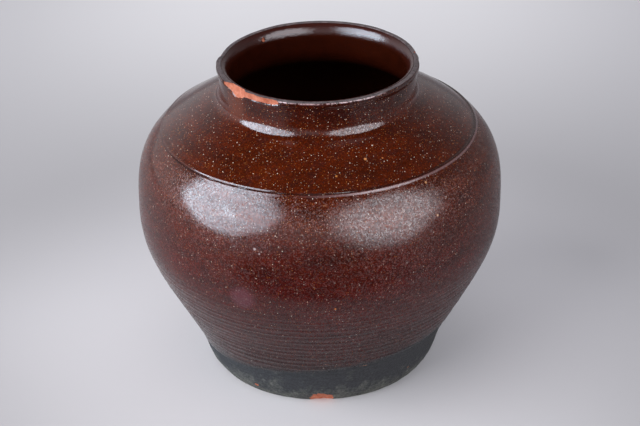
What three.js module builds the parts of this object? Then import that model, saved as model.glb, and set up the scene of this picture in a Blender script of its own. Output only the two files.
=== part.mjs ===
// Medicine jar: a stoneware storage jar, built up from thrown clay sections that are luted
// together with slip, then dressed at the foot and glazed inside and out.
// Millimetres, +Z up. The jar stands on z = 0 and its axis is the Z axis.

import * as THREE from 'three';

// Overall form
const jarHeight = 230.7;
const bellyDiameter = 260;
const bellyHeight = 126;
const neckDiameter = 139;
const neckHeight = 27.1;
const footDiameter = 157;
const footFlare = 14.7;
const footBandHeight = 32;

// Shoulder: its fall beside the neck, and how far the thrown line lies below its top
const shoulderPitch = THREE.MathUtils.degToRad(23);
const shoulderLineDrop = 20.6;
const neckRootReach = 5.5;
const neckRootRise = 8.3;

// How far each curve's handles reach, as a share of the stretch that they shape
const footSwell = { low: 0.66, lowRise: 0.31, high: 0.47, highRise: 0.52 };
const wallRun = { reach: 0.812, rise: 0.613, bellyHold: 0.302 };
const shoulderRun = { bellyHold: 0.428, reach: 0.994 };

// Lip
const lipOverhang = 1.6;
const lipHeight = 5.2;
const lipEdge = 1.8;
const lipBevel = { height: 8.2, reach: 3.7, bow: 0.25 };
const lipGlazeGap = 0.8;

// Clay thicknesses
const wallThickness = 6.2;
const neckThickness = 6.2;
const floorThickness = 8;
const wallToeWidth = 13.6;

// Turned foot
const footRecessDepth = 3;
const standingRingWidth = 13.5;
const footChamfer = 1.5;
const coatStartHeight = 2.5;

// Luted joints: a groove below, a tongue above, and slip all the way between them
const slipThickness = 0.8;
const grooveWidth = 3.2;
const grooveDepth = 3;

// Coats
const glazeThickness = 0.6;
const liningThickness = 0.6;
const dressingThickness = 0.3;

// Facets: steps round the jar, steps along each short curve, and tries to find a height
const turnSegments = 40;
const curveSteps = 2;
const heightTries = 40;

// Radii and heights that follow from the sizes above
const bellyRadius = bellyDiameter / 2;
const neckRadius = neckDiameter / 2;
const footRadius = footDiameter / 2;
const lipRadius = neckRadius + lipOverhang;
const throatRadius = neckRadius - glazeThickness - neckThickness;
const shoulderTop = jarHeight - neckHeight;
const floorTop = footRecessDepth + floorThickness;
const footSeam = floorTop;
const shoulderSeam = shoulderTop - shoulderLineDrop;

const point = (radius, height) => new THREE.Vector2(radius, height);

// The finished outline of the outside, from the foot's edge up to the lip's flat top.
function outsideOutline() {
  const foot = point(footRadius, 0);
  const glazeLine = point(footRadius + footFlare, footBandHeight);
  const belly = point(bellyRadius, bellyHeight);
  const shoulder = point(neckRadius + neckRootReach, shoulderTop);
  const neck = point(neckRadius, shoulderTop + neckRootRise);
  const underLip = point(neckRadius, jarHeight - lipHeight);
  const lip = point(lipRadius, jarHeight - lipEdge);
  const lipTop = point(lipRadius - lipEdge, jarHeight);

  const wallReach = bellyRadius - glazeLine.x;
  const wallRise = bellyHeight - footBandHeight;
  const shoulderReach = (bellyRadius - shoulder.x) * shoulderRun.reach;
  const shoulderRise = shoulderTop - bellyHeight;
  const fall = Math.tan(shoulderPitch);

  const path = new THREE.CurvePath();
  path.add(new THREE.CubicBezierCurve(
    foot,
    point(foot.x + footFlare * footSwell.low, footBandHeight * footSwell.lowRise),
    point(foot.x + footFlare * footSwell.high, footBandHeight * footSwell.highRise),
    glazeLine,
  ));
  path.add(new THREE.CubicBezierCurve(
    glazeLine,
    point(glazeLine.x + wallReach * wallRun.reach, glazeLine.y + wallRise * wallRun.rise),
    point(belly.x, belly.y - wallRise * wallRun.bellyHold),
    belly,
  ));
  path.add(new THREE.CubicBezierCurve(
    belly,
    point(belly.x, belly.y + shoulderRise * shoulderRun.bellyHold),
    point(shoulder.x + shoulderReach, shoulder.y - shoulderReach * fall),
    shoulder,
  ));
  path.add(new THREE.QuadraticBezierCurve(
    shoulder,
    point(neck.x, shoulder.y + neckRootReach * fall),
    neck,
  ));
  path.add(new THREE.LineCurve(neck, underLip));
  path.add(new THREE.QuadraticBezierCurve(underLip, point(lip.x, underLip.y), lip));
  path.add(new THREE.QuadraticBezierCurve(lip, point(lip.x, lipTop.y), lipTop));
  return path;
}

// Where along a rising outline a height is reached, from 0 at its start to 1 at its end.
function reachedAt(path, height) {
  let low = 0;
  let high = 1;
  for (let tried = 0; tried < heightTries; tried += 1) {
    const middle = (low + high) / 2;
    if (path.getPoint(middle).y < height) low = middle;
    else high = middle;
  }
  return (low + high) / 2;
}

// The outline's stations in order. Each stretch runs up to a height, or for a length along the
// outline, in a few equal steps. Its name keeps the index of its first station, where pieces
// and coats begin and end.
function outlineStations(path, startHeight, stretches) {
  const line = [];
  const first = {};
  let from = reachedAt(path, startHeight);
  for (const { name, top, length, steps } of stretches) {
    const to = length ? from + length / path.getLength() : reachedAt(path, top);
    first[name] = line.length;
    for (let step = 0; step < steps; step += 1) {
      line.push(path.getPoint(from + (to - from) * step / steps));
    }
    from = to;
  }
  first.end = line.length;
  line.push(path.getPoint(from));
  return { line, first };
}

// A line drawn at an even distance to the left of another, as seen walking along it.
function parallelLine(line, distance) {
  const leftOf = (from, to) => {
    const along = to.clone().sub(from).normalize();
    return point(-along.y, along.x);
  };
  return line.map((here, index) => {
    const before = leftOf(line[Math.max(index - 1, 0)], line[Math.max(index, 1)]);
    const lastStep = line.length - 1;
    const after = leftOf(line[Math.min(index, lastStep - 1)], line[Math.min(index + 1, lastStep)]);
    const mitre = before.clone().add(after).normalize();
    return here.clone().addScaledVector(mitre, distance / mitre.dot(after));
  });
}

// A luted joint through a wall, given both corners of the lower rim and the outer corner of
// the upper one. Each rim is listed from the outside of the jar to the inside.
function lutedJoint(lowOuter, lowInner, highOuter) {
  const inward = lowInner.clone().sub(lowOuter).normalize();
  const upward = point(inward.y, -inward.x);
  const middle = lowOuter.clone().lerp(lowInner, 0.5);
  const place = (across, up) => (
    middle.clone().addScaledVector(inward, across).addScaledVector(upward, up)
  );
  const grooveHalf = grooveWidth / 2;
  const tongueHalf = grooveHalf - slipThickness;
  const tongueTip = slipThickness - grooveDepth;
  const low = [
    lowOuter,
    place(-grooveHalf, 0),
    place(-grooveHalf, -grooveDepth),
    place(grooveHalf, -grooveDepth),
    place(grooveHalf, 0),
    lowInner,
  ];
  const high = [
    highOuter,
    place(-tongueHalf, slipThickness),
    place(-tongueHalf, tongueTip),
    place(tongueHalf, tongueTip),
    place(tongueHalf, slipThickness),
    lowInner.clone().addScaledVector(upward, slipThickness),
  ];
  return { low, high };
}

const reversed = (line) => [...line].reverse();

// A piece turned about the jar's axis from its section, with the radius to the right and the
// height upwards. Faces of a section listed clockwise point inwards, so they are turned over.
function turnedPiece(name, section, look) {
  const geometry = new THREE.LatheGeometry([...section, section[0]], turnSegments);
  geometry.rotateX(Math.PI / 2);
  if (THREE.ShapeUtils.area(section) < 0) {
    const corners = geometry.index.array;
    for (let corner = 0; corner < corners.length; corner += 3) {
      [corners[corner], corners[corner + 1]] = [corners[corner + 1], corners[corner]];
    }
    geometry.computeVertexNormals();
  }
  const mesh = new THREE.Mesh(geometry, new THREE.MeshStandardMaterial(look));
  mesh.name = name;
  return mesh;
}

const clayLook = { color: 0xc47a58, roughness: 0.9, metalness: 0 };
const lipClayLook = { color: 0x5c4a44, roughness: 0.8, metalness: 0 };
const slipLook = { color: 0x9a5a40, roughness: 0.95, metalness: 0 };
const dressingLook = { color: 0x26282b, roughness: 0.85, metalness: 0 };
const glazeLook = { color: 0x4a1a12, roughness: 0.15, metalness: 0 };
const liningLook = { color: 0x3a1405, roughness: 0.2, metalness: 0 };

// Each joint's slip has its edge on the outline, one short step long.
const stretches = [
  { name: 'footEdge', top: footSeam, steps: 2 },
  { name: 'footSlip', length: slipThickness, steps: 1 },
  { name: 'footBand', top: footBandHeight, steps: 2 },
  { name: 'lowerWall', top: bellyHeight, steps: 5 },
  { name: 'upperWall', top: shoulderSeam, steps: 6 },
  { name: 'shoulderSlip', length: slipThickness, steps: 1 },
  { name: 'shoulder', top: shoulderTop, steps: 2 },
  { name: 'neckSlip', length: slipThickness, steps: 1 },
  { name: 'neckRoot', top: shoulderTop + neckRootRise, steps: 2 },
  { name: 'neck', top: jarHeight - lipHeight, steps: 1 },
  { name: 'lip', top: jarHeight - lipEdge, steps: 2 },
  { name: 'lipEdge', top: jarHeight - lipGlazeGap, steps: 1 },
];
const { line: glazeFace, first } = outlineStations(outsideOutline(), coatStartHeight, stretches);

// The clay's outer face lies under the coats, and its inner face one wall further in.
const clayFace = parallelLine(glazeFace, glazeThickness);
const wallInside = parallelLine(clayFace.slice(0, first.neckRoot + 1), wallThickness);

// The foot joint lies between the disc's rim and the wall's toe. The other two cross the wall.
const floorEdge = point(clayFace[first.footSlip].x - wallToeWidth, floorTop);
const jointAt = (slip, upper, inner) => lutedJoint(clayFace[slip], inner, clayFace[upper]);
const footJoint = jointAt(first.footSlip, first.footBand, floorEdge);
const shoulderJoint = jointAt(
  first.shoulderSlip,
  first.shoulder,
  wallInside[first.shoulderSlip],
);
const neckJoint = jointAt(first.neckSlip, first.neckRoot, wallInside[first.neckSlip]);

// Inside of the wall, from the fillet at the floor up to the shoulder joint.
const toe = footJoint.high.at(-1);
const filletTop = wallInside[first.lowerWall];
const wallSlope = wallInside[first.lowerWall + 1].clone().sub(filletTop);
const floorFillet = new THREE.QuadraticBezierCurve(
  toe,
  point(filletTop.x - wallSlope.x / wallSlope.y * (filletTop.y - toe.y), toe.y),
  filletTop,
).getPoints(curveSteps);
const bodyInside = [
  toe,
  ...floorFillet.slice(1, -1),
  ...wallInside.slice(first.lowerWall, first.shoulderSlip + 1),
];
const domeInside = [
  shoulderJoint.high.at(-1),
  ...wallInside.slice(first.shoulder + 1, first.neckSlip + 1),
];

// Inside of the neck: round under the throat, straight, then a bevel out to the lip's top.
const throatStart = neckJoint.high.at(-1);
const throatCorner = throatStart.y + (throatStart.x - throatRadius) * Math.tan(shoulderPitch);
const throatTurn = new THREE.QuadraticBezierCurve(
  throatStart,
  point(throatRadius, throatCorner),
  point(throatRadius, throatCorner + neckRootRise),
).getPoints(curveSteps);
const bevelTop = point(throatRadius + lipBevel.reach, jarHeight - liningThickness);
const bevelLine = new THREE.QuadraticBezierCurve(
  point(throatRadius, jarHeight - lipBevel.height),
  point(throatRadius + lipBevel.reach * lipBevel.bow, jarHeight - lipBevel.height / 2),
  bevelTop,
).getPoints(curveSteps);
const neckInside = [throatStart, ...throatTurn.slice(1), ...bevelLine];

// Everything that the inner glaze lies on, from the middle of the floor to the lip.
const floorMiddle = point(0, floorTop);
const liningBed = [
  floorMiddle,
  floorEdge,
  ...bodyInside,
  ...domeInside,
  ...neckInside,
];
const liningFace = parallelLine(liningBed, liningThickness);

const ringInner = footRadius - standingRingWidth;
const dressed = clayFace.slice(0, first.lowerWall + 1);
const dressingFace = dressed.map((bed, index) => (
  bed.clone().lerp(glazeFace[index], dressingThickness / glazeThickness)
));
const glazed = clayFace.slice(first.lowerWall);

const baseSection = [
  point(0, footRecessDepth),
  point(ringInner - footChamfer, footRecessDepth),
  point(ringInner, 0),
  point(footRadius, 0),
  ...clayFace.slice(0, first.footSlip),
  ...footJoint.low,
  floorMiddle,
];
const bodySection = [
  ...clayFace.slice(first.footBand + 1, first.shoulderSlip),
  ...shoulderJoint.low,
  ...reversed(bodyInside).slice(1, -1),
  ...reversed(footJoint.high),
];
const domeSection = [
  ...clayFace.slice(first.shoulder + 1, first.neckSlip),
  ...neckJoint.low,
  ...reversed(domeInside).slice(1, -1),
  ...reversed(shoulderJoint.high),
];
const lipTop = [
  point(lipRadius - lipEdge, jarHeight),
  point(bevelTop.x + liningThickness, jarHeight),
];
const collarSection = [
  ...clayFace.slice(first.neckRoot + 1),
  ...lipTop,
  ...reversed(neckInside).slice(0, -1),
  ...reversed(neckJoint.high),
];
const slipSection = (joint) => [...reversed(joint.low), ...joint.high];

// A coat lists its bed the way that the clay under it does, so that both split their facets
// along the same diagonals and lie face to face.
const coatSection = (bed, face) => [...bed, ...reversed(face)];

const medicineJar = new THREE.Group();
medicineJar.add(
  turnedPiece('base_disc', baseSection, clayLook),
  turnedPiece('foot_luting', slipSection(footJoint), slipLook),
  turnedPiece('body_wall', bodySection, clayLook),
  turnedPiece('shoulder_luting', slipSection(shoulderJoint), slipLook),
  turnedPiece('shoulder_dome', domeSection, clayLook),
  turnedPiece('neck_luting', slipSection(neckJoint), slipLook),
  turnedPiece('neck_collar', collarSection, lipClayLook),
  turnedPiece('foot_dressing', coatSection(dressed, dressingFace), dressingLook),
  turnedPiece(
    'outer_glaze',
    coatSection(glazed, glazeFace.slice(first.lowerWall)),
    glazeLook,
  ),
  turnedPiece('inner_glaze', coatSection(reversed(liningBed), reversed(liningFace)), liningLook),
);

export default medicineJar;
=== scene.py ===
"""Medicine jar: a stoneware storage jar, thrown in three sections, dressed at the foot and glazed.

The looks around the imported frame. Sizes are in millimetres until a mesh is finished, then in metres,
with +Z up along the axis that the jar was turned about and the photographed front facing -Y.
"""

import bisect
import math

import bmesh
import bpy
from mathutils import Matrix, Vector, noise


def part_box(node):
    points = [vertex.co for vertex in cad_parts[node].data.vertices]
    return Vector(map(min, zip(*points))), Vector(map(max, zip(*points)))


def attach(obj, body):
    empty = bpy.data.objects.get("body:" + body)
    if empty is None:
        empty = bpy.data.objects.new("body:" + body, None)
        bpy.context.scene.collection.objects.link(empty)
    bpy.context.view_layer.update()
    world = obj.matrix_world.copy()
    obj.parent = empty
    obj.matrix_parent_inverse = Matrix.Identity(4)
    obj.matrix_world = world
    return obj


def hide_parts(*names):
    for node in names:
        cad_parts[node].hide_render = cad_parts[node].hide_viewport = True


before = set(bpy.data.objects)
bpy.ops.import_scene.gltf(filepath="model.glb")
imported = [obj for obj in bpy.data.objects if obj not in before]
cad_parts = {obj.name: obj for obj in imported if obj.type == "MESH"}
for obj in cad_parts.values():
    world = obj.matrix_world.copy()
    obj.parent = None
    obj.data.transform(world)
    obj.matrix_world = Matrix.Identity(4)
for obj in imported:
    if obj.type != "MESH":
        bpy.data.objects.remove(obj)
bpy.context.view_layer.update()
scene = bpy.context.scene
MM = 0.001

# Camera
# The photograph's viewpoint, found by fitting the jar's outline, rim and foot: a long lens that looks
# down on the shoulder, turned a little to the side. The image is 640 by 426.
camera_place = Vector((0, -1268.4, 794.6)) * MM
camera_down = math.radians(28.37)
camera_roll = math.radians(-1.29)
camera_data = bpy.data.cameras.new("camera")
camera_data.sensor_fit = "HORIZONTAL"
camera_data.sensor_width = 36
camera_data.lens = 111.7
camera = bpy.data.objects.new("camera", camera_data)
tilt = Matrix.Rotation(math.pi / 2 - camera_down, 4, "X")
roll = Matrix.Rotation(camera_roll, 4, "Z")
camera.matrix_world = Matrix.Translation(camera_place) @ tilt @ roll
scene.collection.objects.link(camera)
scene.camera = camera
scene.view_settings.view_transform = "Standard"


# Floor
# Pale paper under and behind the jar, a hair below the standing ring, with painted light on it: lighter
# round the jar's foot and far behind it, and painted shade towards the sides behind, the front and the
# left.
# The gloss of the glaze also sees the dark gap in front, between the softboxes, where it ends.
def linear(hex_colour):
    """An sRGB colour written as hex, as the linear colour that a shader takes."""
    levels = [int(hex_colour[place:place + 2], 16) / 255 for place in (1, 3, 5)]
    return [v / 12.92 if v <= 0.04045 else ((v + 0.055) / 1.055) ** 2.4 for v in levels] + [1]


def new_material(name):
    """An empty material, with its node tree."""
    material = bpy.data.materials.new(name)
    material.use_nodes = True
    material.node_tree.nodes.clear()
    return material


def add(material, kind, settings=None, **links):
    """Adds a shader node: settings are its properties, and links its inputs, by name or by number.

    An input takes a value, an output, or a node, which stands for the first output that it has in use.
    """
    tree = material.node_tree
    node = tree.nodes.new("ShaderNode" + kind)
    for name, value in (settings or {}).items():
        setattr(node, name, value)
    for name, value in links.items():
        numbered = name[1:].isdigit()
        socket = node.inputs[int(name[1:]) if numbered else name.replace("_", " ")]
        if isinstance(value, bpy.types.Node):
            value = next(output for output in value.outputs if output.enabled)
        if isinstance(value, bpy.types.NodeSocket):
            tree.links.new(value, socket)
        else:
            socket.default_value = value
    return node


smooth = {"interpolation_type": "SMOOTHSTEP"}
times = {"operation": "MULTIPLY"}
times_plus = {"operation": "MULTIPLY_ADD"}
plus = {"operation": "ADD"}
scaled = {"operation": "SCALE"}
of_colours = {"data_type": "RGBA"}

paper_front = -0.235
gap_half_width = 0.27
floor_half = 6
floor_drop = 0.02
paper = new_material("pale_paper")
place = add(paper, "TexCoord").outputs["Object"]
across, back, up = add(paper, "SeparateXYZ", Vector=place).outputs
in_front = add(paper, "MapRange", smooth, Value=back, From_Min=paper_front + 0.01,
               From_Max=paper_front - 0.01)
far_front = add(paper, "MapRange", Value=back, From_Min=-0.4, From_Max=-1.4, To_Min=1.0, To_Max=0.35)
sideways = add(paper, "Math", {"operation": "ABSOLUTE"}, _0=across)
in_gap = add(paper, "MapRange", smooth, Value=sideways, From_Min=gap_half_width + 0.05,
             From_Max=gap_half_width - 0.02)
gap_depth = add(paper, "Math", times, _0=in_front, _1=far_front)
gap = add(paper, "Math", times, _0=gap_depth, _1=in_gap)
ray = add(paper, "LightPath")
gap_side = add(paper, "MapRange", Value=across, From_Min=-0.3, From_Max=0.05, To_Min=0.1, To_Max=0.36)
gap_share = add(paper, "MapRange", Value=gap, To_Min=gap_side, To_Max=1.0)
gap_seen = add(paper, "Math", times, _0=gap_share, _1=ray.outputs["Is Glossy Ray"])
# Painted light: the paper is lighter far behind the jar, most of all in the middle, and painted shade
# darkens it to the sides.
painted_light_further_back = add(paper, "MapRange", smooth, Value=back, From_Min=0.2, From_Max=0.75)
painted_shade_to_side = add(paper, "MapRange", smooth, Value=sideways, From_Min=0.1, From_Max=0.5)
painted_light_back_tone = add(paper, "Mix", of_colours, _0=painted_shade_to_side, _6=linear("#fefdff"), _7=linear("#d6d5d9"))
paper_tone_and_painted_light = add(paper, "Mix", of_colours, _0=painted_light_further_back, _6=linear("#c1c0c3"), _7=painted_light_back_tone)
from_jar = add(paper, "VectorMath", {"operation": "LENGTH"}, _0=place)
# Painted light round the jar's foot, against its shadow, and painted shade towards the front and the
# left.
painted_light_round_foot = add(paper, "MapRange", smooth, Value=from_jar, From_Min=0.36, From_Max=0.12, To_Min=1.0,
                 To_Max=1.6)
painted_shade_nearer = add(paper, "MapRange", smooth, Value=back, From_Min=0.08, From_Max=-0.1, To_Min=1.0,
             To_Max=0.84)
painted_shade_on_left = add(paper, "MapRange", Value=across, From_Min=-0.08, From_Max=-0.3, To_Min=1.0,
                  To_Max=0.92)
painted_shade_level = add(paper, "Math", times, _0=painted_shade_nearer, _1=painted_shade_on_left)
painted_light_level = add(paper, "Math", times, _0=painted_light_round_foot, _1=painted_shade_level)
lit_paper = add(paper, "VectorMath", scaled, _0=paper_tone_and_painted_light, Scale=painted_light_level)
shown = add(paper, "Mix", of_colours, _0=gap_seen, _6=lit_paper, _7=linear("#303032"))
surface = add(paper, "BsdfDiffuse", Color=shown)
add(paper, "OutputMaterial", Surface=surface)

floor_mesh = bpy.data.meshes.new("floor")
floor_form = bmesh.new()
bmesh.ops.create_grid(floor_form, x_segments=1, y_segments=1, size=floor_half)
bmesh.ops.translate(floor_form, verts=floor_form.verts, vec=(0, 0, -floor_drop * MM))
floor_form.to_mesh(floor_mesh)
floor_form.free()
floor_mesh.materials.append(paper)
floor = bpy.data.objects.new("floor", floor_mesh)
scene.collection.objects.link(floor)

# Studio light
# Two eight-sided softboxes, left and right of the camera. For each, an eight-sided panel is what the
# glaze reflects, hottest along the flash tube behind it, and a round lamp further off gives the light.
softbox_radius = 0.538
lamp_reach = 1.8
softboxes = {
    "left_softbox": {"centre": (-0.702, -0.393, 0.533), "light": 3.4, "gloss": 11.0, "slope": -8.0,
                     "tube": 1.5, "tint": "#e0eeff"},
    "right_softbox": {"centre": (0.552, -0.630, 0.460), "light": 1.2, "gloss": 5.3, "slope": 0.0,
                      "tube": 0.0, "tint": "#f7f7ff"},
}
tube_middle = (-0.061, 0.068, 0)
tube_tilt = math.radians(-36)
tube_size = (0.034, 0.14, 1)
lamp_tint = (0.98, 0.98, 1.0)
jar_middle = Vector((0, 0, 0.13))
for name, box in softboxes.items():
    centre = Vector(box["centre"])
    facing = (jar_middle - centre).to_track_quat("-Z", "Y").to_matrix().to_4x4()
    lamp_data = bpy.data.lights.new(name, "AREA")
    lamp_data.shape = "DISK"
    lamp_data.size = 2 * softbox_radius * lamp_reach
    lamp_data.energy = box["light"] * (math.pi * softbox_radius * lamp_reach) ** 2
    lamp_data.color = lamp_tint
    lamp = bpy.data.objects.new(name, lamp_data)
    lamp.matrix_world = Matrix.Translation(jar_middle.lerp(centre, lamp_reach)) @ facing
    lamp.visible_glossy = False
    scene.collection.objects.link(lamp)

    glow = new_material(name + "_panel")
    panel_place = add(glow, "TexCoord").outputs["Object"]
    panel_across = add(glow, "SeparateXYZ", Vector=panel_place).outputs["X"]
    even = add(glow, "Math", times_plus, _0=panel_across, _1=box["slope"], _2=box["gloss"])
    off_tube = add(glow, "VectorMath", plus, _0=panel_place, _1=tube_middle)
    tube_way = add(glow, "VectorRotate", {"rotation_type": "Z_AXIS"}, Vector=off_tube, Angle=tube_tilt)
    tube_span = add(glow, "VectorMath", {"operation": "DIVIDE"}, _0=tube_way, _1=tube_size)
    reach = add(glow, "VectorMath", {"operation": "LENGTH"}, _0=tube_span)
    heat = add(glow, "MapRange", smooth, Value=reach, From_Min=1.3, From_Max=0.4, To_Min=1.0,
               To_Max=1 + box["tube"])
    strength = add(glow, "Math", times, _0=even, _1=heat)
    light = add(glow, "Emission", Color=linear(box["tint"]), Strength=strength)
    add(glow, "OutputMaterial", Surface=light)
    panel_mesh = bpy.data.meshes.new(name + "_panel")
    panel_form = bmesh.new()
    bmesh.ops.create_circle(panel_form, cap_ends=True, segments=8, radius=softbox_radius)
    bmesh.ops.rotate(panel_form, verts=panel_form.verts, matrix=Matrix.Rotation(math.pi / 8, 3, "Z"))
    panel_form.to_mesh(panel_mesh)
    panel_form.free()
    panel_mesh.materials.append(glow)
    panel = bpy.data.objects.new(name + "_panel", panel_mesh)
    panel.matrix_world = Matrix.Translation(centre) @ facing
    for kind_of_ray in ("camera", "diffuse", "shadow", "transmission", "volume_scatter"):
        setattr(panel, "visible_" + kind_of_ray, False)
    scene.collection.objects.link(panel)

# The room: even light on the jar, a white view behind it, and for the gloss a grey wall low down that
# falls to a dark ceiling and is paler on the left.
room = bpy.data.worlds.new("studio_room")
room.use_nodes = True
room.node_tree.nodes.clear()
scene.world = room
toward = add(room, "TexCoord").outputs["Generated"]
room_across, _, room_up = add(room, "SeparateXYZ", Vector=toward).outputs
to_ceiling = add(room, "MapRange", smooth, Value=room_up, From_Min=0.25, From_Max=0.85)
to_left = add(room, "MapRange", Value=room_across, From_Min=0.8, From_Max=-0.9, To_Min=0.25,
              To_Max=0.95)
wall_level = add(room, "Mix", {"data_type": "FLOAT"}, _0=to_ceiling, _2=to_left, _3=0.05)
room_ray = add(room, "LightPath")
even_light = add(room, "Background", Color=linear("#d8d8de"), Strength=0.62)
grey_wall = add(room, "Background", Color=linear("#f2f2f8"), Strength=wall_level)
white_view = add(room, "Background", Color=linear("#e2e2e8"), Strength=1.0)
for_gloss = add(room, "MixShader", _0=room_ray.outputs["Is Glossy Ray"], _1=even_light, _2=grey_wall)
for_camera = add(room, "MixShader", _0=room_ray.outputs["Is Camera Ray"], _1=for_gloss, _2=white_view)
add(room, "OutputWorld", Surface=for_camera)

# Base disc
# The floor of the pot: a disc of iron-bearing stoneware clay. When leather hard it was turned from
# below, which left a standing ring and a shallow recess, and it was never glazed there.
jar_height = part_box("neck_collar")[1].z / MM
belly_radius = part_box("outer_glaze")[1].x / MM
glaze_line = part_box("outer_glaze")[0].z / MM
foot_radius = 78.5
belly_height = 126
shoulder_top = 203.6
neck_radius = 69.5
lip_radius = 71.1
foot_end = (93.2, glaze_line)
belly = (belly_radius, belly_height)
shoulder_end = (75, shoulder_top)
neck_start = (neck_radius, 211.9)
neck_end = (neck_radius, 224.6)
lip_start = (lip_radius, 228.7)
lip_end = (lip_radius, 229.7)
outline_curves = [
    [(foot_radius, 0), (88.2, 9.9), (85.4, 16.6), foot_end],
    [foot_end, (123.1, 89.6), (belly_radius, 97.6), belly],
    [belly, (belly_radius, 159.2), (129.7, 180.4), shoulder_end],
    [shoulder_end, (neck_radius, 205.9), neck_start],
    [neck_start, neck_end],
    [neck_end, (neck_radius, 226.2), (lip_radius, 226), lip_start],
    [lip_start, lip_end],
    [lip_end, (lip_radius, jar_height), (70.1, jar_height)],
]
outline_step = 0.2


def on_curve(handles, share):
    """The point of a Bezier curve of any degree at a share of its way."""
    points = [Vector(handle) for handle in handles]
    while len(points) > 1:
        points = [a.lerp(b, share) for a, b in zip(points, points[1:])]
    return points[0]


def curve_run(handles, steps):
    """Points along a Bezier curve, from its start to its end, at even shares of its way."""
    return [on_curve(handles, step / steps) for step in range(steps + 1)]


outline = [Vector(outline_curves[0][0])]
for handles in outline_curves:
    chord = Vector(handles[-1]) - Vector(handles[0])
    steps = math.ceil(chord.length / outline_step)
    outline += curve_run(handles, steps)[1:]
outline_heights = [point.y for point in outline]


def outward(index):
    """The direction out of the wall at a point of the outline."""
    spread = 3
    along = outline[min(index + spread, len(outline) - 1)] - outline[max(index - spread, 0)]
    return Vector((along.y, -along.x)).normalized()


def in_wall(height, depth=0.0):
    """The (radius, height) that lies at a depth inside the wall, below the outline at a height."""
    index = min(max(bisect.bisect_left(outline_heights, height), 1), len(outline) - 1)
    low, high = outline[index - 1], outline[index]
    share = (height - low.y) / (high.y - low.y) if high.y > low.y else 0
    return low.lerp(high, min(max(share, 0), 1)) - outward(index) * depth


def wall_run(low, high, depth=0.0, step=1.0):
    """Points at an even depth in the wall from one height to another, about a step apart."""
    count = max(1, math.ceil(abs(high - low) / step))
    return [in_wall(low + (high - low) * place / count, depth) for place in range(count + 1)]


glaze_depth = 0.6
clay_depth = 6.8
lining_depth = 7.4
joint_slip = 0.8
groove_half = 1.6
groove_depth = 3.0


def luted_joint(low_outer, low_inner, high_outer):
    """The two faces of a luted joint, from outside to inside: a groove, and above it a tongue."""
    inward = (low_inner - low_outer).normalized()
    upward = Vector((inward.y, -inward.x))
    middle = low_outer.lerp(low_inner, 0.5)
    tongue_half = groove_half - joint_slip
    root = -groove_depth
    low = [(-groove_half, 0), (-groove_half, root), (groove_half, root), (groove_half, 0)]
    tip = joint_slip - groove_depth
    high = [(-tongue_half, joint_slip), (-tongue_half, tip), (tongue_half, tip),
            (tongue_half, joint_slip)]
    low_face = [middle + inward * across + upward * up for across, up in low]
    high_face = [middle + inward * across + upward * up for across, up in high]
    return (
        [low_outer, *low_face, low_inner],
        [high_outer, *high_face, low_inner + upward * joint_slip],
    )


lean = 0.008
lean_height = 117
ridge_pitch = 4.6
ridge_rise = 0.2
fine_pitch = 2.7
fine_rise = 0.12
ridges_start = 26
ridges_end = 112
lip_foot = 224
flat_ring = 0.5
flat_lip = 229
skin_depth = 6
skin_fade = 5
true_core = 40
seam_height = 183
seam_sway = 0.85
seam_high_side = math.radians(320)
seam_slope = 1.45
dome_proud_side = math.radians(185)
seam_depth = [(150, 1), (168, 0.3), (192, 0.3), (213, 1)]
dome_proud = [(-1.0, 0), (-0.4, -0.3), (0.1, 0.7), (0.9, 0.95), (4, 0.5), (12, 0)]
wall_proud = [(-3.2, 0), (-0.9, 0.45), (-0.4, 0.45), (0.4, -0.35), (9, 0)]
lip_wear = [(-12, 0), (0, 0.9), (12, 1.3), (25, 1.0), (40, 0.7), (60, 0), (112, 0), (130, 1.2),
            (150, 1.4), (168, 1.9), (174, 0.4), (178, 0)]


def wander(azimuth, height, spread, seed):
    """A smooth random number from -1 to 1, which has no break going round the jar."""
    round_jar = Vector((math.cos(azimuth) * spread, math.sin(azimuth) * spread, height / 30 + seed))
    return noise.noise(round_jar)


def eased(stations, place):
    """The value at a place between (place, value) stations, with no corner at any of them."""
    places = [station[0] for station in stations]
    index = bisect.bisect_right(places, place)
    if index == 0 or index == len(stations):
        return stations[max(index - 1, 0)][1]
    (start, low), (end, high) = stations[index - 1], stations[index]
    share = (place - start) / (end - start)
    return low + (high - low) * share * share * (3 - 2 * share)


def thrown_relief(azimuth, height):
    """How far the potter's fingers left the wall outside the true form, in millimetres."""
    low_fade = min(max((height - ridges_start) / 10, 0.25), 1)
    high_fade = min(max((ridges_end - height) / 34, 0), 1)
    turn = azimuth / (2 * math.pi)
    drift = 0.5 * wander(azimuth, height, 1.3, 3) + 0.22 * wander(azimuth, height * 2, 9, 5)
    ridge = math.cos(2 * math.pi * (height / ridge_pitch - turn + drift))
    fine = math.cos(2 * math.pi * (height / fine_pitch + turn + 0.8 * wander(azimuth, height, 2.2, 9)))
    firmness = 0.75 + 0.5 * wander(azimuth, height * 4, 1.8, 21)
    firmness += 0.5 * wander(azimuth, height * 6, 13, 33)
    ridges = low_fade * high_fade * firmness * (ridge_rise * ridge + fine_rise * fine)
    sag = 0.28 * wander(azimuth, height, 0.9, 40) + 0.09 * wander(azimuth, height * 3, 3.5, 55)
    above = (height - seam_height - seam_sway * math.cos(azimuth - seam_high_side)) * seam_slope
    dome_share = 0.5 + 0.5 * math.cos(azimuth - dome_proud_side)
    step = dome_share * eased(dome_proud, above) + (1 - dome_share) * eased(wall_proud, above)
    step *= eased(seam_depth, math.degrees(azimuth) % 360)
    settled = max(above, 0)
    flattened = 0.07 * settled * math.exp(-settled / 14)
    at_foot = min(max((13 - height) / 8, 0), 1)
    at_lip = min(max((height - lip_foot) / 5, 0), 1)
    worn = (0.4 * at_foot + 0.3 * at_lip) * wander(azimuth, height * 6, 14, 90)
    return ridges + sag + step - flattened + worn


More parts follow.
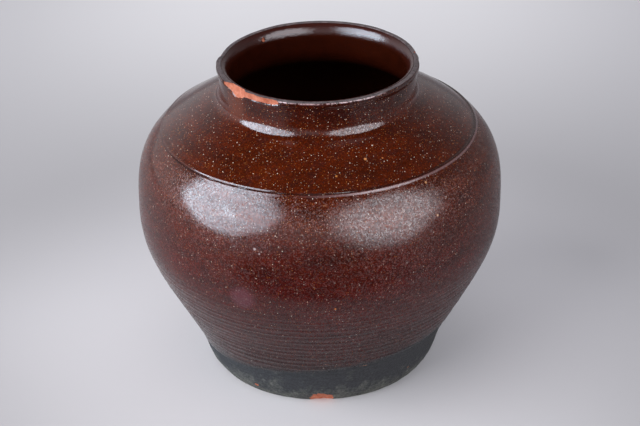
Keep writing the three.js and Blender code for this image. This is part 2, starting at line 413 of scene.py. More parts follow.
def worn_lip(azimuth, height):
    """How much narrower knocks and wear left the lip, in millimetres."""
    at_lip = min(max((height - lip_foot) / 5, 0), 1)
    return at_lip * eased(lip_wear, (math.degrees(azimuth) + 90) % 360 - 90)


dip_tilt = 10.5
dip_high_side = math.radians(355)
dip_reach = [(14, 0), (glaze_line, 1), (85, 0)]


def dip_slide(azimuth, height):
    """How far up the wall a point near the glaze's lower edge lies, as the pot was dipped at a tilt."""
    ragged = 0.9 * wander(azimuth, 0, 2.5, 70) + 0.5 * wander(azimuth, 0, 9, 80)
    edge_rise = dip_tilt * math.cos(azimuth - dip_high_side) + ragged
    places = [station[0] for station in dip_reach]
    index = bisect.bisect_right(places, height)
    if index == 0 or index == len(dip_reach):
        return 0.0
    (start, low), (end, high) = dip_reach[index - 1], dip_reach[index]
    return edge_rise * (low + (high - low) * (height - start) / (end - start))


def as_thrown(point):
    """Moves a point of the true form to where it lies on the pot, in millimetres."""
    azimuth = math.atan2(point.y, point.x)
    radius = math.hypot(point.x, point.y)
    if radius > true_core:
        true_wall = in_wall(point.z)
        inset = true_wall.x - radius
        near_skin = min(max((skin_depth - inset) / skin_fade, 0), 1)
        slide = near_skin * dip_slide(azimuth, point.z)
        if slide:
            radius += in_wall(point.z + slide).x - true_wall.x
            point.z += slide
        index = min(bisect.bisect_left(outline_heights, point.z), len(outline) - 1)
        direction = outward(index)
        relief = near_skin * thrown_relief(azimuth, point.z + inset * direction.x * direction.y)
        radius += direction.x * relief - near_skin * worn_lip(azimuth, point.z)
        point.z += direction.y * relief * (flat_ring < point.z < flat_lip)
    point.x = radius * math.cos(azimuth) + lean * (point.z - lean_height)
    point.y = radius * math.sin(azimuth)


sharp_edge = math.radians(40)


def turned(name, section, steps, closed=True):
    """Turns a section of (radius, height) points about the jar's axis into a closed mesh in metres.

    One sector is spun first, and then the sector is spun on as copies, which is far quicker.
    """
    form = bmesh.new()
    points = [form.verts.new((point[0], 0, point[1])) for point in section]
    edges = [form.edges.new(pair) for pair in zip(points, points[1:])]
    if closed:
        edges.append(form.edges.new((points[-1], points[0])))
    sectors = 16
    sector = 2 * math.pi / sectors
    bmesh.ops.spin(form, geom=points + edges, cent=(0, 0, 0), axis=(0, 0, 1), angle=sector,
                   steps=steps // sectors)
    first_sector = form.verts[:] + form.edges[:] + form.faces[:]
    bmesh.ops.spin(form, geom=first_sector, cent=(0, 0, 0), axis=(0, 0, 1),
                   angle=2 * math.pi - sector, steps=sectors - 1, use_duplicate=True)
    bmesh.ops.remove_doubles(form, verts=form.verts, dist=0.0005)
    bmesh.ops.recalc_face_normals(form, faces=form.faces)
    for vertex in form.verts:
        as_thrown(vertex.co)
    bmesh.ops.scale(form, vec=(MM, MM, MM), verts=form.verts)
    for face in form.faces:
        face.smooth = True
    mesh = bpy.data.meshes.new(name)
    form.to_mesh(mesh)
    form.free()
    mesh.set_sharp_from_angle(angle=sharp_edge)
    return mesh


def stand_for(name, mesh, material, node):
    """Puts a finished mesh into the scene in place of a node of the frame."""
    mesh.materials.append(material)
    piece = bpy.data.objects.new(name, mesh)
    scene.collection.objects.link(piece)
    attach(piece, "root")
    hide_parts(node)
    return piece


recess_depth = 3
ring_inner = 65
ring_chamfer = 1.5
dressing_start = 2.5
floor_top = 11
toe_width = 13.6
hidden_steps = 96
fine_steps = 256

foot_outer = in_wall(floor_top, glaze_depth)
foot_inner = Vector((foot_outer.x - toe_width, floor_top))
foot_upper = in_wall(floor_top + joint_slip, glaze_depth)
foot_joint = luted_joint(foot_outer, foot_inner, foot_upper)
base_section = [
    (0, recess_depth),
    *[(radius, recess_depth) for radius in range(8, 64, 5)],
    (ring_inner - ring_chamfer, recess_depth),
    (ring_inner, 0),
    (foot_radius, 0),
    *wall_run(dressing_start, floor_top, glaze_depth),
    *foot_joint[0][1:],
    (0, floor_top),
]

# Bare stoneware, fired brown-orange and dusty: a rough matt body, so the eye sees colour and no shine.
body_clay = new_material("bare_stoneware")
place = add(body_clay, "TexCoord").outputs["Object"]
stain = add(body_clay, "TexNoise", Vector=place, Scale=60.0, Detail=5.0, Roughness=0.6)
grit = add(body_clay, "TexNoise", Vector=place, Scale=900.0, Detail=3.0)
clay_colour = add(body_clay, "Mix", of_colours, _0=stain, _6=linear("#7a4f3a"), _7=linear("#a8714f"))
dirt = add(body_clay, "MapRange", Value=grit, From_Min=0.45, From_Max=0.62)
clay_worn = add(body_clay, "Mix", of_colours, _0=dirt, _6=clay_colour, _7=linear("#5b463a"))
clay_bump = add(body_clay, "Bump", Height=grit, Strength=0.35, Distance=0.0006)
clay_surface = add(body_clay, "BsdfPrincipled", Base_Color=clay_worn, Roughness=0.85, Normal=clay_bump)
add(body_clay, "OutputMaterial", Surface=clay_surface)

# The foot's dressing: a thin slip full of iron and manganese, brushed on and fired matt. The eye sees
# blue-black with no shine, and kiln dust and soil near the ground. It runs over the edge of the base.
foot_slip = new_material("matt_foot_slip")
place = add(foot_slip, "TexCoord").outputs["Object"]
foot_up = add(foot_slip, "SeparateXYZ", Vector=place).outputs["Z"]
patches = add(foot_slip, "TexNoise", Vector=place, Scale=90.0, Detail=8.0, Roughness=0.72)
low_down = add(foot_slip, "MapRange", Value=foot_up, From_Min=0.020, From_Max=0.003, To_Min=-0.1,
               To_Max=0.16)
deposit = add(foot_slip, "Math", plus, _0=patches, _1=low_down)
deposit_share = add(foot_slip, "MapRange", Value=deposit, From_Min=0.47, From_Max=0.7)
foot_colour = add(foot_slip, "Mix", of_colours, _0=deposit_share, _6=linear("#202124"),
                  _7=linear("#50514b"))
foot_grit = add(foot_slip, "TexNoise", Vector=place, Scale=620.0, Detail=4.0, Roughness=0.7)
foot_level = add(foot_slip, "MapRange", Value=foot_grit, From_Min=0.36, From_Max=0.66, To_Min=0.45,
                 To_Max=1.9)
foot_dusty = add(foot_slip, "VectorMath", scaled, _0=foot_colour, Scale=foot_level)
foot_bump = add(foot_slip, "Bump", Height=foot_grit, Strength=0.5, Distance=0.0008)
foot_surface = add(foot_slip, "BsdfPrincipled", Base_Color=foot_dusty, Roughness=0.75, Normal=foot_bump)
add(foot_slip, "OutputMaterial", Surface=foot_surface)

# Where the pot is chipped, the break shows the clean clay: salmon orange, rough and bright.
broken_clay = new_material("broken_stoneware")
place = add(broken_clay, "TexCoord").outputs["Object"]
break_tone = add(broken_clay, "TexNoise", Vector=place, Scale=260.0, Detail=5.0, Roughness=0.65)
break_share = add(broken_clay, "MapRange", Value=break_tone, From_Min=0.35, From_Max=0.65)
break_colour = add(broken_clay, "Mix", of_colours, _0=break_share, _6=linear("#a5502f"),
                   _7=linear("#c67a5c"))
break_grit = add(broken_clay, "TexNoise", Vector=place, Scale=1400.0, Detail=3.0)
break_bump = add(broken_clay, "Bump", Height=break_grit, Strength=0.6, Distance=0.0005)
break_surface = add(broken_clay, "BsdfPrincipled", Base_Color=break_colour, Roughness=0.9,
                    Normal=break_bump)
add(broken_clay, "OutputMaterial", Surface=break_surface)


def strike(form, azimuth, height, width, tall, depth, inside=0.0):
    """Adds to a cutter the scoop that one knock took out, at an azimuth in degrees and a height.

    A knock with a depth inside lies on the inner face of the wall, that far in from the outer one. The
    scoops of one cutter lie apart, because the cut fails where two cross.
    """
    round_jar = math.radians(azimuth)
    surface = in_wall(height) - Vector((inside, 0))
    direction = outward(bisect.bisect_left(outline_heights, height))
    out = Vector((direction.x * math.cos(round_jar), direction.x * math.sin(round_jar), direction.y))
    if inside:
        out = Vector((-math.cos(round_jar), -math.sin(round_jar), 0))
    along = Vector((-math.sin(round_jar), math.cos(round_jar), 0))
    up = out.cross(along)
    centre = Vector((surface.x * math.cos(round_jar), surface.x * math.sin(round_jar), surface.y))
    ball = Matrix((along * width / 1.6, up * tall / 1.6, out * depth * 2.5)).transposed().to_4x4()
    ball = Matrix.Translation(centre + out * depth * 1.5) @ ball
    made = bmesh.ops.create_icosphere(form, subdivisions=4, radius=1, matrix=ball)
    for vertex in made["verts"]:
        rough = noise.noise(vertex.co * 0.9) * 0.5 + noise.noise(vertex.co * 2.3) * 0.3
        vertex.co += out * depth * rough
        vertex.co += along * depth * 0.5 * noise.noise(vertex.co * 0.7 + Vector((0, 0, 40)))


def cutter_of(name, form):
    """The finished cutter, on the pot as it was thrown and with the look of a fresh break."""
    bmesh.ops.recalc_face_normals(form, faces=form.faces)
    for vertex in form.verts:
        as_thrown(vertex.co)
    bmesh.ops.scale(form, vec=(MM, MM, MM), verts=form.verts)
    mesh = bpy.data.meshes.new(name)
    form.to_mesh(mesh)
    form.free()
    mesh.materials.append(broken_clay)
    cutter = bpy.data.objects.new(name, mesh)
    scene.collection.objects.link(cutter)
    return cutter


def break_off(piece, cutter, shows_clay):
    """Cuts the chips out of a piece. Clay is bare at the break, and a coat keeps its own look there."""
    chips = piece.modifiers.new("chips", "BOOLEAN")
    chips.operation = "DIFFERENCE"
    chips.solver = "EXACT"
    chips.object = cutter
    chips.material_mode = "TRANSFER" if shows_clay else "INDEX"
    chipped = piece.evaluated_get(bpy.context.evaluated_depsgraph_get())
    piece.data = bpy.data.meshes.new_from_object(chipped)
    piece.modifiers.clear()
    piece.data.set_sharp_from_angle(angle=sharp_edge)


base_mesh = turned("base", base_section, fine_steps, closed=False)
base_piece = stand_for("turned_base", base_mesh, body_clay, "base_disc")
base_mesh.materials.append(foot_slip)
for face in base_mesh.polygons:
    beside = math.hypot(face.center.x, face.center.y) > (foot_radius - 1) * MM
    if beside and face.center.z > 0.1 * MM and face.center.z < floor_top * MM:
        face.material_index = 1

# Knocks: the azimuth in degrees and the height of each, and how wide, tall and deep its scoop is.
foot_knocks = [
    (269.6, 3.0, 21, 17, 2.1),
    (235.4, 7.5, 5.0, 4.2, 1.0),
    (204.6, 14.6, 3.2, 3.0, 0.7),
    (316, 13.5, 3.6, 2.8, 0.8),
    (152, 5.5, 6.5, 5.0, 0.9),
    (60, 3.5, 9.0, 6.0, 1.0),
]
foot_form = bmesh.new()
for knock in foot_knocks:
    strike(foot_form, *knock)
foot_cutter = cutter_of("foot_chips", foot_form)
break_off(base_piece, foot_cutter, shows_clay=True)

# Foot luting
# The ring of slip, clay let down with water, that was brushed into the scored groove to hold the wall
# to its floor. It is fired hard inside the wall and doesn't show.
luting_slip = new_material("fired_luting_slip")
place = add(luting_slip, "TexCoord").outputs["Object"]
slip_mottle = add(luting_slip, "TexNoise", Vector=place, Scale=250.0, Detail=3.0)
slip_colour = add(luting_slip, "Mix", of_colours, _0=slip_mottle, _6=linear("#8d5138"),
                  _7=linear("#a5664a"))
slip_surface = add(luting_slip, "BsdfPrincipled", Base_Color=slip_colour, Roughness=0.95)
add(luting_slip, "OutputMaterial", Surface=slip_surface)


def slip_ring(name, joint, node):
    """The slip between the two faces of a luted joint."""
    low, high = joint
    mesh = turned(name, [*low, *reversed(high)], hidden_steps)
    return stand_for(name, mesh, luting_slip, node)


slip_ring("foot_slip_ring", foot_joint, "foot_luting")

# Body wall
# The thrown wall, from the floor out to the belly and in again to the line round the shoulder. The
# potter's fingers left ridges on its lower part. Glaze covers it on both sides.
fillet_top = 32
toe_curve = Vector((2.6, 6))
toe = foot_joint[1][-1]
fillet_end = in_wall(fillet_top, clay_depth)
floor_fillet = curve_run([toe, toe + toe_curve, fillet_end], 6)
seam_slip = 0.55
near_seam = 4
dome_start = seam_height + seam_slip
seam_outer = in_wall(seam_height, glaze_depth)
seam_inner = in_wall(seam_height, clay_depth)
seam_joint = luted_joint(seam_outer, seam_inner, in_wall(dome_start, glaze_depth))
seam_foot = seam_height - near_seam
seam_head = seam_height + near_seam
wall_section = [
    *wall_run(floor_top + joint_slip, seam_foot, glaze_depth, 3)[:-1],
    *wall_run(seam_foot, seam_height, glaze_depth, 0.4)[:-1],
    *seam_joint[0],
    *wall_run(seam_height, fillet_top, clay_depth, 4)[1:],
    *reversed(floor_fillet[1:-1]),
    *reversed(foot_joint[1][1:]),
]
wall_mesh = turned("body_wall", wall_section, hidden_steps)
stand_for("thrown_body_wall", wall_mesh, body_clay, "body_wall")

# Shoulder luting
# The ring of slip between the body wall and the dome.
slip_ring("shoulder_slip_ring", seam_joint, "shoulder_luting")

# Shoulder dome
# The upper section, thrown apart and set on the wall while both were leather hard, a little off its
# centre, so that a line runs round the shoulder where the two meet.
neck_slip = 0.31
collar_start = shoulder_top + neck_slip
neck_outer = in_wall(shoulder_top, glaze_depth)
neck_inner = in_wall(shoulder_top, clay_depth)
neck_joint = luted_joint(neck_outer, neck_inner, in_wall(collar_start, glaze_depth))
dome_section = [
    *wall_run(dome_start, seam_head, glaze_depth, 0.4)[:-1],
    *wall_run(seam_head, shoulder_top, glaze_depth, 2)[:-1],
    *neck_joint[0],
    *wall_run(shoulder_top, dome_start, clay_depth, 3)[1:-1],
    *reversed(seam_joint[1][1:]),
]
dome_mesh = turned("shoulder_dome", dome_section, hidden_steps)
stand_for("thrown_shoulder_dome", dome_mesh, body_clay, "shoulder_dome")

# Neck luting
# The ring of slip between the dome and the neck.
slip_ring("neck_slip_ring", neck_joint, "neck_luting")

# Neck collar
# The short neck with its rolled lip. The glaze was wiped off the lip's flat top, so that the jar could
# be fired with a cover or another pot on it, and the bare clay there fired to a dull grey-brown.
bevel_start = 222.5
throat_radius = 62.7
flat_outer = 69.3
flat_inner = 67.9
bevel_steps = 14
bevel_end = (flat_inner - 0.5, jar_height - 0.45)
bevel = curve_run([(throat_radius, bevel_start), (63.4, 226.8), (65.2, 229.6), bevel_end], bevel_steps)
bare_start = jar_height - 0.25
collar_section = [
    *wall_run(collar_start, bare_start, glaze_depth, 0.6),
    *[point for point in outline if point.y > bare_start and point.x > flat_outer],
    (flat_outer, jar_height),
    (68.6, jar_height),
    (flat_inner, jar_height),
    *reversed(bevel),
    *wall_run(bevel_start, collar_start, clay_depth, 2)[1:-1],
    *reversed(neck_joint[1][1:]),
]

# Wiped lip clay: fine stoneware with a skin of iron left by the wiping, so it is dull but not dusty.
lip_clay = new_material("wiped_lip_clay")
place = add(lip_clay, "TexCoord").outputs["Object"]
lip_stain = add(lip_clay, "TexNoise", Vector=place, Scale=260.0, Detail=6.0, Roughness=0.75)
lip_grit = add(lip_clay, "TexNoise", Vector=place, Scale=1100.0, Detail=2.0)
lip_share = add(lip_clay, "MapRange", Value=lip_stain, From_Min=0.36, From_Max=0.64)
lip_colour = add(lip_clay, "Mix", of_colours, _0=lip_share, _6=linear("#2c2122"), _7=linear("#706262"))
lip_bump = add(lip_clay, "Bump", Height=lip_grit, Strength=0.3, Distance=0.0005)
lip_surface = add(lip_clay, "BsdfPrincipled", Base_Color=lip_colour, Roughness=0.6, Normal=lip_bump)
add(lip_clay, "OutputMaterial", Surface=lip_surface)
collar_mesh = turned("neck_collar", collar_section, fine_steps)
collar_piece = stand_for("thrown_neck_collar", collar_mesh, lip_clay, "neck_collar")

# The long flake off the front left of the lip: an azimuth in degrees, the radius at which the break
# meets the flat top there, and the height at which it comes out of the wall.
flake = [
    (202, 71.8, 229.0),
    (204.5, 71.3, 225.2),
    (208, 70.6, 224.0),
    (211.5, 68.0, 223.0),
    (215, 66.8, 221.0),
    (218, 66.8, 221.2),
    (221, 67.2, 222.2),
    (223.5, 68.9, 224.6),
    (225.5, 70.3, 225.2),
    (228.5, 70.0, 225.6),
    (231.5, 69.6, 225.6),
    (234, 70.4, 225.6),
    (240, 70.3, 225.8),
    (244, 70.0, 226.0),
    (247, 70.8, 226.8),
    (249, 71.6, 229.6),
]
flake_azimuths = [station[0] for station in flake]
break_points = 7
flake_step = 0.75
lip_knocks = [
    (171, 229.4, 6.4, 4.2, 1.5),
    (178, 229.6, 2.4, 2.2, 0.5),
    (8, 229.8, 4.0, 4.4, 2.0),
    (2.5, 229.2, 3.0, 2.6, 0.6),
    (355, 228.8, 2.6, 2.4, 0.5),
    (66, 229.3, 3.4, 2.6, 0.7),
    (128, 225.8, 4.2, 4.4, 1.6, lining_depth),
]


def flake_ring(azimuth):
    """The cutter's outline at an azimuth: a hollow, rough break, and a loop outside the clay."""
    index = min(max(bisect.bisect_left(flake_azimuths, azimuth), 1), len(flake) - 1)
    low, high = flake[index - 1], flake[index]
    share = (azimuth - low[0]) / (high[0] - low[0])
    top_radius = low[1] + (high[1] - low[1]) * share + 0.3 * noise.noise(Vector((azimuth * 0.9, 3, 0)))
    out_height = low[2] + (high[2] - low[2]) * share + 0.4 * noise.noise(Vector((azimuth * 1.1, 9, 0)))
    start = Vector((top_radius, jar_height))
    end = Vector((in_wall(out_height).x + 0.15, out_height))
    into = Vector((end.y - start.y, start.x - end.x)).normalized()
    section = [Vector((top_radius, jar_height + 3))]
    for point in range(break_points + 1):
        way = point / break_points
        hollow = 0.45 * math.sin(math.pi * way)
        rough = 0.55 * noise.noise(Vector((azimuth * 0.8, way * 3.5, 21)))
        section.append(start.lerp(end, way) + into * (hollow + rough * math.sin(math.pi * way)))
    section += [Vector((end.x + 4, out_height - 0.9)), Vector((end.x + 4, jar_height + 3))]
    turn = math.radians(azimuth)
    return [Vector((point.x * math.cos(turn), point.x * math.sin(turn), point.y)) for point in section]


lip_form = bmesh.new()
loops = []
flake_rings = round((flake_azimuths[-1] - flake_azimuths[0]) / flake_step)
for place_along in range(flake_rings + 1):
    ring = flake_ring(flake_azimuths[0] + flake_step * place_along)
    corners = [lip_form.verts.new(corner) for corner in ring]
    pairs = zip([corners[-1], *corners[:-1]], corners)
    loops.append([lip_form.edges.new(pair) for pair in pairs])
for near, far in zip(loops, loops[1:]):
    bmesh.ops.bridge_loops(lip_form, edges=near + far)
for end in (loops[0], loops[-1]):
    bmesh.ops.contextual_create(lip_form, geom=end)
for knock in lip_knocks:
    strike(lip_form, *knock)
lip_cutter = cutter_of("lip_chips", lip_form)
break_off(collar_piece, lip_cutter, shows_clay=True)

# Foot dressing
# A thin dark slip brushed on the foot below the glaze, fired matt and blue-black. Kiln dust and soil
# sit in it near the ground.
dressing_depth = 0.3
dressing_step = 0.8
dressing_section = [
    *wall_run(dressing_start, glaze_line, dressing_depth, dressing_step),
    *wall_run(glaze_line, dressing_start, glaze_depth, dressing_step),
]
dressing_mesh = turned("foot_dressing", dressing_section, fine_steps)
dressing_piece = stand_for("dressed_foot_band", dressing_mesh, foot_slip, "foot_dressing")
break_off(dressing_piece, foot_cutter, shows_clay=False)

# Outer glaze
# An iron-brown glaze, dipped and fired glossy: amber where it is thin over the shoulder, maroon where
# it ran thick over the belly. Iron came out of it in cooling as fine gold specks.
neck_foot = 200
neck_root = 202
lip_turn = 228
glaze_section = [
    *wall_run(glaze_line, ridges_end, 0, 0.75),
    *wall_run(ridges_end, seam_foot, 0, 1.3)[1:],
    *wall_run(seam_foot, seam_head, 0, 0.2)[1:],
    *wall_run(seam_head, neck_root, 0, 1.2)[1:],
    *wall_run(neck_root, lip_turn, 0, 0.66)[1:],
    *wall_run(lip_turn, bare_start, 0, 0.13)[1:],
    *wall_run(bare_start, neck_foot, glaze_depth, 0.9),
    *wall_run(neck_foot, seam_head, glaze_depth, 4)[1:],
    *wall_run(seam_head, seam_foot, glaze_depth, 0.2)[1:],
    *wall_run(seam_foot, glaze_line, glaze_depth, 7)[1:],
]
glaze_mesh = turned("outer_glaze", glaze_section, fine_steps)

# An iron-brown glaze is a glass with a smooth fired skin: the eye sees through a clear gloss to a deep
# colour. Iron crystals that came out in cooling roughen it in grains and show as gold and pink specks.
# The right side, which faced away from the flame, has more of them and a pimpled skin.
brown_glaze = new_material("iron_brown_glaze")
place = add(brown_glaze, "TexCoord").outputs["Object"]
across, back, up = add(brown_glaze, "SeparateXYZ", Vector=place).outputs
cloud_size = 45
band_height = 7
cloud = add(brown_glaze, "TexNoise", Vector=place, Scale=1000 / cloud_size, Detail=4.0, Roughness=0.55)
cloud_shift = add(brown_glaze, "Math", times_plus, _0=cloud, _1=0.05, _2=up)
up_wall = add(brown_glaze, "MapRange", Value=cloud_shift, From_Min=0.05, From_Max=0.25)
tones = add(brown_glaze, "ValToRGB", Fac=up_wall)
tone_stops = [
    (0.05, "#300f0e"),
    (0.22, "#3f0f0c"),
    (0.45, "#4a140f"),
    (0.62, "#4d180c"),
    (0.74, "#4f1a04"),
    (0.92, "#501802"),
    (0.98, "#3c1004"),
]
ramp = tones.color_ramp
ramp.elements.remove(ramp.elements[1])
ramp.elements[0].position = tone_stops[0][0]
ramp.elements[0].color = linear(tone_stops[0][1])
for stop, tone in tone_stops[1:]:
    ramp.elements.new(stop).color = linear(tone)

# Bands of thicker and thinner glaze run round the pot, and bluish clouds lie where it crystallised.
flattened = add(brown_glaze, "Mapping", Vector=place, Scale=(1, 1, 5))
bands = add(brown_glaze, "TexNoise", Vector=flattened, Scale=200 / band_height, Detail=5.0,
            Roughness=0.6)
band_level = add(brown_glaze, "MapRange", Value=bands, From_Min=0.3, From_Max=0.7, To_Min=0.56,
                 To_Max=1.12)
blue_cloud = add(brown_glaze, "TexNoise", Vector=place, Scale=120.0, Detail=5.0, Roughness=0.7)
blue_share = add(brown_glaze, "MapRange", Value=blue_cloud, From_Min=0.5, From_Max=0.72, To_Min=0.0,
                 To_Max=0.55)
clouded = add(brown_glaze, "Mix", of_colours, _0=blue_share, _6=tones, _7=linear("#2c1a1c"))

# Grains about a pixel of the picture apart. The real ones are finer than it can show.
grain_size = 0.75
grain = add(brown_glaze, "TexVoronoi", Vector=place, Scale=1000 / grain_size)
grain_parts = add(brown_glaze, "SeparateXYZ", Vector=grain.outputs["Color"])
grain_dark, grain_rough, grain_dull = grain_parts.outputs
grain_peak = add(brown_glaze, "Math", {"operation": "POWER"}, _0=grain_dark, _1=3.0)
grain_level = add(brown_glaze, "Math", times_plus, _0=grain_peak, _1=0.9, _2=0.74)
level = add(brown_glaze, "Math", times, _0=grain_level, _1=band_level)
colour = add(brown_glaze, "VectorMath", scaled, _0=clouded, Scale=level)

# Specks: the spacing is of the cells that each may fall in, and the radius is a share of it.
speck_and_glint_kinds = [
    {"spacing": 1.2, "radius": 0.25, "without": 0.56, "colour": "#c98244"},
    {"spacing": 1.6, "radius": 0.20, "without": 0.62, "colour": "#f4d2bc"},
    # Painted glints: this near-white kind stands in for light glinting on the crystals.
    {"spacing": 2.3, "radius": 0.17, "without": 0.56, "colour": "#fff4e4"},
]
more_on_shoulder = add(brown_glaze, "MapRange", Value=up, From_Min=0.09, From_Max=0.19, To_Min=0.16,
                       To_Max=0.0)
for kind in speck_and_glint_kinds:
    cells = add(brown_glaze, "TexVoronoi", Vector=place, Scale=1000 / kind["spacing"])
    chance = add(brown_glaze, "SeparateXYZ", Vector=cells.outputs["Color"])
    likely = add(brown_glaze, "Math", {"operation": "SUBTRACT"}, _0=chance.outputs["X"],
                 _1=more_on_shoulder)
    chosen = add(brown_glaze, "MapRange", Value=likely, From_Min=kind["without"], From_Max=1.0)
    in_speck = add(brown_glaze, "MapRange", Value=cells, From_Min=kind["radius"],
                   From_Max=kind["radius"] * 0.5)
    speck_or_glint = add(brown_glaze, "Math", times, _0=in_speck, _1=chosen)
    colour = add(brown_glaze, "Mix", of_colours, _0=speck_or_glint, _6=colour, _7=linear(kind["colour"]))

# At its lower edge, tilted by the dip, the coat runs out thin and the dark slip shows through it.
tilt_share = dip_tilt / in_wall(glaze_line).x
edge_way = (-math.cos(dip_high_side) * tilt_share, -math.sin(dip_high_side) * tilt_share, 1)
over_foot = add(brown_glaze, "VectorMath", {"operation": "DOT_PRODUCT"}, _0=place, _1=edge_way)
edge_blur = add(brown_glaze, "TexNoise", Vector=place, Scale=200.0, Detail=5.0, Roughness=0.7)
edge_height = add(brown_glaze, "Math", times_plus, _0=edge_blur, _1=-6 * MM, _2=over_foot)
thin_foot = add(brown_glaze, "MapRange", smooth, Value=edge_height, From_Min=(glaze_line + 2.2) * MM,
                From_Max=(glaze_line - 2.6) * MM)
colour = add(brown_glaze, "Mix", of_colours, _0=thin_foot, _6=colour, _7=linear("#25272a"))

# Painted shade: the groove of the seam is painted near black, where shade falls in it. The groove sways
# round the jar.
groove_sway = 1.05
groove_low_side = math.radians(150)
groove_height = 182.85
ledge_drop = 1.15
sway_share = groove_sway / in_wall(seam_height).x
seam_way = (math.cos(groove_low_side) * sway_share, math.sin(groove_low_side) * sway_share, 1)
round_seam = add(brown_glaze, "VectorMath", {"operation": "DOT_PRODUCT"}, _0=place, _1=seam_way)
off_seam = add(brown_glaze, "Math", {"operation": "SUBTRACT"}, _0=round_seam, _1=groove_height * MM)
seam_distance = add(brown_glaze, "Math", {"operation": "ABSOLUTE"}, _0=off_seam)
painted_groove_shade = add(brown_glaze, "MapRange", Value=seam_distance, From_Min=0.7 * MM, From_Max=0.3 * MM,
             To_Max=0.6)
seam_left = add(brown_glaze, "MapRange", Value=across, From_Min=-0.112, From_Max=-0.096, To_Min=0.1)
groove_shade_share = add(brown_glaze, "Math", times, _0=painted_groove_shade, _1=seam_left)
groove_shaded_colour = add(brown_glaze, "Mix", of_colours, _0=groove_shade_share, _6=colour, _7=linear("#1c0907"))
# Painted highlight: a pink grey line along the ledge just below the groove, on the right side, where
# its edge catches the light.
from_ledge = add(brown_glaze, "Math", plus, _0=off_seam, _1=ledge_drop * MM)
ledge_distance = add(brown_glaze, "Math", {"operation": "ABSOLUTE"}, _0=from_ledge)
painted_ledge_highlight = add(brown_glaze, "MapRange", Value=ledge_distance, From_Min=0.8 * MM, From_Max=0.3 * MM,
               To_Max=0.5)
ledge_side = add(brown_glaze, "MapRange", smooth, Value=across, From_Min=-0.02, From_Max=0.02)
ledge_highlight_share = add(brown_glaze, "Math", times, _0=painted_ledge_highlight, _1=ledge_side)
colour = add(brown_glaze, "Mix", of_colours, _0=ledge_highlight_share, _6=groove_shaded_colour, _7=linear("#94787a"))

# Painted highlight: a broken line of pink grey along the wiped edge of the lip, on its front, where the
# softboxes glint on the rolled edge.
edge_noise = add(brown_glaze, "TexNoise", Vector=place, Scale=330.0, Detail=3.0)
edge_broken = add(brown_glaze, "MapRange", Value=edge_noise, From_Min=0.42, From_Max=0.56)
at_edge = add(brown_glaze, "MapRange", Value=up, From_Min=0.2294, From_Max=0.2298)
edge_front = add(brown_glaze, "MapRange", Value=back, From_Min=-0.05, From_Max=-0.063)
edge_along = add(brown_glaze, "Math", times, _0=edge_broken, _1=edge_front)
painted_lip_highlight = add(brown_glaze, "Math", times, _0=edge_along, _1=at_edge)
colour = add(brown_glaze, "Mix", of_colours, _0=painted_lip_highlight, _6=colour, _7=linear("#b99a9c"))

# Larger crystals, ash marks and two painted reflections, by azimuth in degrees, height, radius, tone
# and strength.
marks_and_painted_reflections = [
    # Painted reflection: a soft light patch on the left of the neck, by its root.
    (215, 217, 13, "#74381f", 0.4),
    # Painted reflection: a pink smear low on the left of the belly.
    (245.3, 108.7, 11, "#6d404c", 0.4),
    (289.6, 196.2, 1.3, "#d08a55", 1),
    (297, 195.2, 0.9, "#b87040", 1),
    (276.2, 190.9, 1.0, "#b9783f", 1),
    (308.2, 179.7, 1.1, "#c08a60", 1),
    (308.2, 159.8, 1.0, "#c9a080", 1),
    (274, 105, 0.9, "#b86a30", 1),
    (250, 149, 1.2, "#a89a9c", 1),
    (251.5, 146, 0.8, "#a89a9c", 1),
    (228.5, 199.5, 0.7, "#cbbab0", 0.9),
    (230.5, 199.0, 0.6, "#cbbab0", 0.8),
    (295.6, 200.5, 0.8, "#e0d2c8", 1),
]
for azimuth, height, radius, tone, strength in marks_and_painted_reflections:
    turn = math.radians(azimuth)
    reach = in_wall(height).x
    spot = (reach * math.cos(turn) + lean * (height - lean_height), reach * math.sin(turn), height)
    away = add(brown_glaze, "VectorMath", {"operation": "DISTANCE"}, _0=place, _1=Vector(spot) * MM)
    mark_or_reflection_share = add(brown_glaze, "MapRange", Value=away, From_Min=radius * MM, From_Max=radius * MM * 0.5,
                  To_Max=strength)
    colour = add(brown_glaze, "Mix", of_colours, _0=mark_or_reflection_share, _6=colour, _7=linear(tone))

# The skin: an orange peel of low bumps, and on the right pimples too.
to_right = add(brown_glaze, "MapRange", smooth, Value=across, From_Min=-0.04, From_Max=0.03)
peel = add(brown_glaze, "TexNoise", Vector=place, Scale=400.0, Detail=4.0, Roughness=0.6)
pimples = add(brown_glaze, "TexNoise", Vector=place, Scale=2100.0, Detail=1.0)
pimple_share = add(brown_glaze, "MapRange", Value=to_right, To_Min=0.2, To_Max=0.85)
low_pimples = add(brown_glaze, "MapRange", Value=up, From_Min=0.176, From_Max=0.186, To_Min=1.0,
                  To_Max=0.25)
pimple_height = add(brown_glaze, "Math", times, _0=pimple_share, _1=low_pimples)
pimpled = add(brown_glaze, "Math", times, _0=pimples, _1=pimple_height)
skin = add(brown_glaze, "Math", plus, _0=peel, _1=pimpled)
skin_bump = add(brown_glaze, "Bump", Height=skin, Strength=0.18, Distance=0.0005)
rough_share = add(brown_glaze, "Math", times_plus, _0=to_right, _1=0.07, _2=grain_rough)
above_seam = add(brown_glaze, "MapRange", smooth, Value=up, From_Min=0.176, From_Max=0.186)
smoother = add(brown_glaze, "Math", times_plus, _0=above_seam, _1=-0.4, _2=rough_share)
roughness = add(brown_glaze, "MapRange", Value=smoother, From_Min=0.42, From_Max=0.92, To_Min=0.07,
                To_Max=0.46)
least_gloss = add(brown_glaze, "MapRange", Value=to_right, To_Min=0.32, To_Max=0.26)
most_gloss = add(brown_glaze, "MapRange", Value=to_right, To_Min=0.66, To_Max=0.9)
gloss_chance = add(brown_glaze, "Math", {"operation": "POWER"}, _0=grain_dull, _1=1.6)
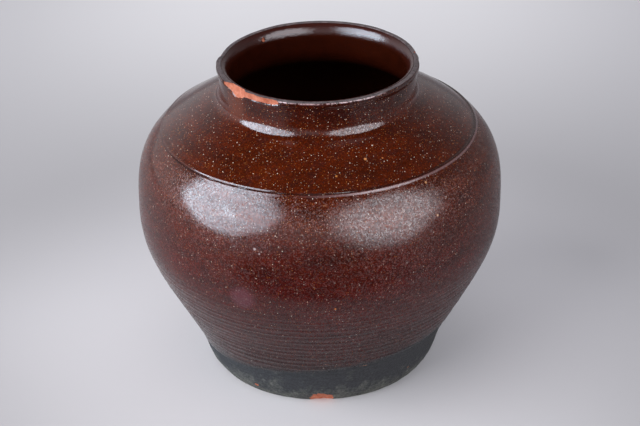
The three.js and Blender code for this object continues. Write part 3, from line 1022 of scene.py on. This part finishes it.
gloss_level = add(brown_glaze, "MapRange", Value=gloss_chance, To_Min=least_gloss, To_Max=most_gloss)
glaze_surface = add(brown_glaze, "BsdfPrincipled", Base_Color=colour, Roughness=roughness, IOR=1.55,
                    Specular_IOR_Level=gloss_level, Normal=skin_bump)
add(brown_glaze, "OutputMaterial", Surface=glaze_surface)
glaze_piece = stand_for("outer_glaze_coat", glaze_mesh, brown_glaze, "outer_glaze")
break_off(glaze_piece, lip_cutter, shows_clay=False)

# Inner glaze
# The same glaze poured round the inside and tipped out: thinner, so it is amber under the lip, and it
# covers the long bevel inside the lip.
lining_thick = lining_depth - clay_depth
lining_floor = floor_top + lining_thick
lining_end = (flat_inner - 1.0, jar_height - 0.15)
lining_bevel = curve_run([(62.1, bevel_start), (62.8, 227.1), (64.7, 230.1), lining_end], bevel_steps)
inner_toe = Vector((toe.x - lining_thick, lining_floor))
inner_fillet_end = in_wall(fillet_top, lining_depth)
inner_fillet = curve_run([inner_toe, inner_toe + toe_curve, inner_fillet_end], 6)
lining_section = [
    (0, floor_top),
    foot_inner,
    *floor_fillet,
    *wall_run(fillet_top, bevel_start, clay_depth, 2)[1:],
    *bevel[1:],
    *reversed(lining_bevel),
    *wall_run(bevel_start, fillet_top, lining_depth, 1.5)[1:],
    *reversed(inner_fillet[:-1]),
    *[(radius, lining_floor) for radius in range(64, 4, -6)],
    (0, lining_floor),
]
lining_mesh = turned("inner_glaze", lining_section, fine_steps, closed=False)
amber_glaze = new_material("amber_lining_glaze")
place = add(amber_glaze, "TexCoord").outputs["Object"]
lining_up = add(amber_glaze, "SeparateXYZ", Vector=place).outputs["Z"]
lining_cloud = add(amber_glaze, "TexNoise", Vector=place, Scale=120.0, Detail=5.0, Roughness=0.65)
# Painted shade: the lining's colours are darker than the outer coat's, for the shade inside the hollow.
lining_tone_and_shade = add(amber_glaze, "Mix", of_colours, _0=lining_cloud, _6=linear("#1f0803"),
                  _7=linear("#3c1306"))
near_lip = add(amber_glaze, "MapRange", Value=lining_up, From_Min=0.222, From_Max=0.228)
lining_colour = add(amber_glaze, "Mix", of_colours, _0=near_lip, _6=lining_tone_and_shade, _7=linear("#3a1813"))
lining_peel = add(amber_glaze, "TexNoise", Vector=place, Scale=380.0, Detail=4.0, Roughness=0.6)
lining_bump = add(amber_glaze, "Bump", Height=lining_peel, Strength=0.3, Distance=0.0008)
lining_surface = add(amber_glaze, "BsdfPrincipled", Base_Color=lining_colour, Roughness=0.16, IOR=1.55,
                     Normal=lining_bump)
add(amber_glaze, "OutputMaterial", Surface=lining_surface)
lining_piece = stand_for("inner_glaze_coat", lining_mesh, amber_glaze, "inner_glaze")
break_off(lining_piece, lip_cutter, shows_clay=False)
bpy.data.objects.remove(lip_cutter)
bpy.data.objects.remove(foot_cutter)
